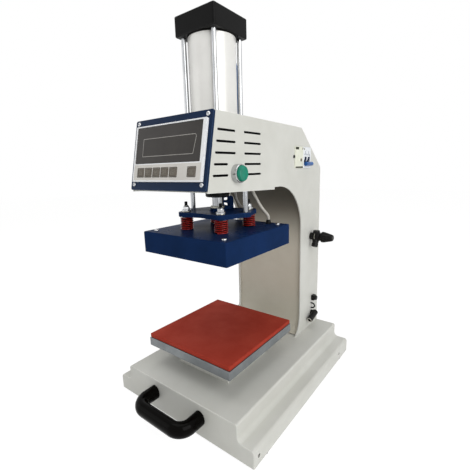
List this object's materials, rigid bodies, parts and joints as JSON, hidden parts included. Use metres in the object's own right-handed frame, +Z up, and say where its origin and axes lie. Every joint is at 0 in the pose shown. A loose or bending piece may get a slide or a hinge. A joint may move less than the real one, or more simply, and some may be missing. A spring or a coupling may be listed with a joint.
{
  "type": "pneumatic heat press",
  "caption": "Bench-top press with an air cylinder in a C-shaped head that pushes a sprung heat platen onto a padded lower platen, with a sloped control panel.",
  "frame": {"origin": "on the bench, under the middle of the press's bounding box", "axes": "+X to the operator's right when facing the press, +Y from the operator to the rear, +Z up"},
  "size_m": [0.33, 0.456, 0.6938],
  "materials": {
    "painted_steel": "light grey powder coat, satin",
    "navy_paint": "navy blue gloss paint",
    "black_plastic": "black, fine grain",
    "rubber": "matt",
    "silicone": "red-brown silicone sponge, matt",
    "aluminium": "milled",
    "anodised_tube": "clear anodised, drawn",
    "steel": "turned, zinc plated",
    "chrome": "hard chrome, polished",
    "black_steel": "black",
    "spring_red": "red lacquer",
    "panel_white": "off-white film",
    "dark_window": "smoked, clear gloss",
    "key_grey": "matt grey",
    "circuit_green": "solder resist",
    "button_green": "green, satin gloss",
    "breaker_cream": "cream white, fine grain",
    "lever_blue": "blue gloss",
    "hose_blue": "blue tube, gloss",
    "lead_grey": "light grey sleeving"
  },
  "bodies": {
    "frame": {"base_pan": "painted_steel", "foot_front_left": "rubber", "foot_front_right": "rubber", "foot_rear_left": "rubber", "foot_rear_right": "rubber", "carry_handle": "black_plastic", "lower_platen": "aluminium", "silicone_pad": "silicone", "platen_riser": "painted_steel", "side_plate_left": "painted_steel", "side_plate_right": "painted_steel", "column_front_panel": "painted_steel", "rear_cover": "painted_steel", "head_plate": "painted_steel", "cylinder_front_cap": "black_plastic", "cylinder_rear_cap": "black_plastic", "cylinder_barrel": "anodised_tube", "tie_rod_1": "chrome", "tie_rod_2": "chrome", "tie_rod_3": "chrome", "tie_rod_4": "chrome", "air_hose": "hose_blue", "heater_lead": "lead_grey", "sensor_lead": "lead_grey", "control_bezel": "navy_paint", "keypad_panel": "panel_white", "display_window": "dark_window", "control_board": "circuit_green", "start_button_bezel": "chrome", "breaker_body": "breaker_cream", "regulator_body": "black_plastic", "air_inlet_elbow": "black_plastic", "fuse_holder": "black_plastic", "solenoid_valve": "black_steel"},
    "ram": {"piston_rod": "chrome", "pressure_plate": "navy_paint", "guide_rod_left": "chrome", "guide_rod_right": "chrome", "spring_1": "spring_red", "spring_2": "spring_red", "spring_3": "spring_red", "spring_4": "spring_red"},
    "platen": {"heater_block": "aluminium", "heater_cover": "navy_paint", "spring_bolt_1": "steel", "spring_bolt_2": "steel", "spring_bolt_3": "steel", "spring_bolt_4": "steel"},
    "guide_sleeves": {"guide_sleeve_left": "steel", "guide_sleeve_right": "steel"},
    "key_one": {"key_1": "key_grey"},
    "key_two": {"key_2": "key_grey"},
    "key_three": {"key_3": "key_grey"},
    "key_four": {"key_4": "key_grey"},
    "key_five": {"key_5": "key_grey"},
    "key_six": {"key_6": "key_grey"},
    "start_button": {"start_button_cap": "button_green"},
    "test_button": {"breaker_test_button": "key_grey"},
    "lever": {"breaker_lever": "lever_blue"},
    "pressure_knob": {"regulator_knob": "black_plastic"}
  },
  "joints": [
    {"name": "press_stroke", "type": "slide", "parent": "frame", "child": "ram", "axis": [0, 0, -1], "range_m": [0, 0.1625], "deforming": ["heater_lead", "sensor_lead"]},
    {"name": "sleeve_slide", "type": "slide", "parent": "frame", "child": "guide_sleeves", "axis": [0, 0, -1], "range_m": [0, 0.0813]},
    {"name": "platen_float", "type": "slide", "parent": "ram", "child": "platen", "axis": [0, 0, 1], "range_m": [0, 0.004], "stiffness_N_per_m": 80000, "springref_m": -0.0025, "deforming": ["spring_1", "spring_2", "spring_3", "spring_4"]},
    {"name": "key_one_press", "type": "slide", "parent": "frame", "child": "key_one", "axis": [0, 0.9789, -0.2045], "range_m": [0, 0.0007], "stiffness_N_per_m": 1500, "springref_m": -0.0003},
    {"name": "key_two_press", "type": "slide", "parent": "frame", "child": "key_two", "axis": [0, 0.9789, -0.2045], "range_m": [0, 0.0007], "stiffness_N_per_m": 1500, "springref_m": -0.0003},
    {"name": "key_three_press", "type": "slide", "parent": "frame", "child": "key_three", "axis": [0, 0.9789, -0.2045], "range_m": [0, 0.0007], "stiffness_N_per_m": 1500, "springref_m": -0.0003},
    {"name": "key_four_press", "type": "slide", "parent": "frame", "child": "key_four", "axis": [0, 0.9789, -0.2045], "range_m": [0, 0.0007], "stiffness_N_per_m": 1500, "springref_m": -0.0003},
    {"name": "key_five_press", "type": "slide", "parent": "frame", "child": "key_five", "axis": [0, 0.9789, -0.2045], "range_m": [0, 0.0007], "stiffness_N_per_m": 1500, "springref_m": -0.0003},
    {"name": "key_six_press", "type": "slide", "parent": "frame", "child": "key_six", "axis": [0, 0.9789, -0.2045], "range_m": [0, 0.0007], "stiffness_N_per_m": 1500, "springref_m": -0.0003},
    {"name": "start_press", "type": "slide", "parent": "frame", "child": "start_button", "axis": [-1, 0, 0], "range_m": [0, 0.0035], "stiffness_N_per_m": 900, "springref_m": -0.003},
    {"name": "test_press", "type": "slide", "parent": "frame", "child": "test_button", "axis": [-1, 0, 0], "range_m": [0, 0.0011], "stiffness_N_per_m": 900, "springref_m": -0.001},
    {"name": "lever_throw", "type": "hinge", "parent": "frame", "child": "lever", "pos_m": [0.0775, 0.15116, 0.4635], "axis": [0, -1, 0], "range_deg": [0, 70]},
    {"name": "knob_turn", "type": "hinge", "parent": "frame", "child": "pressure_knob", "pos_m": [0.118, 0.18102, 0.2884], "axis": [1, 0, 0], "range_deg": [-720, 720]}
  ],
  "couplings": [
    {"joint": "sleeve_slide", "follows": "press_stroke", "ratio": 0.5}
  ]
}
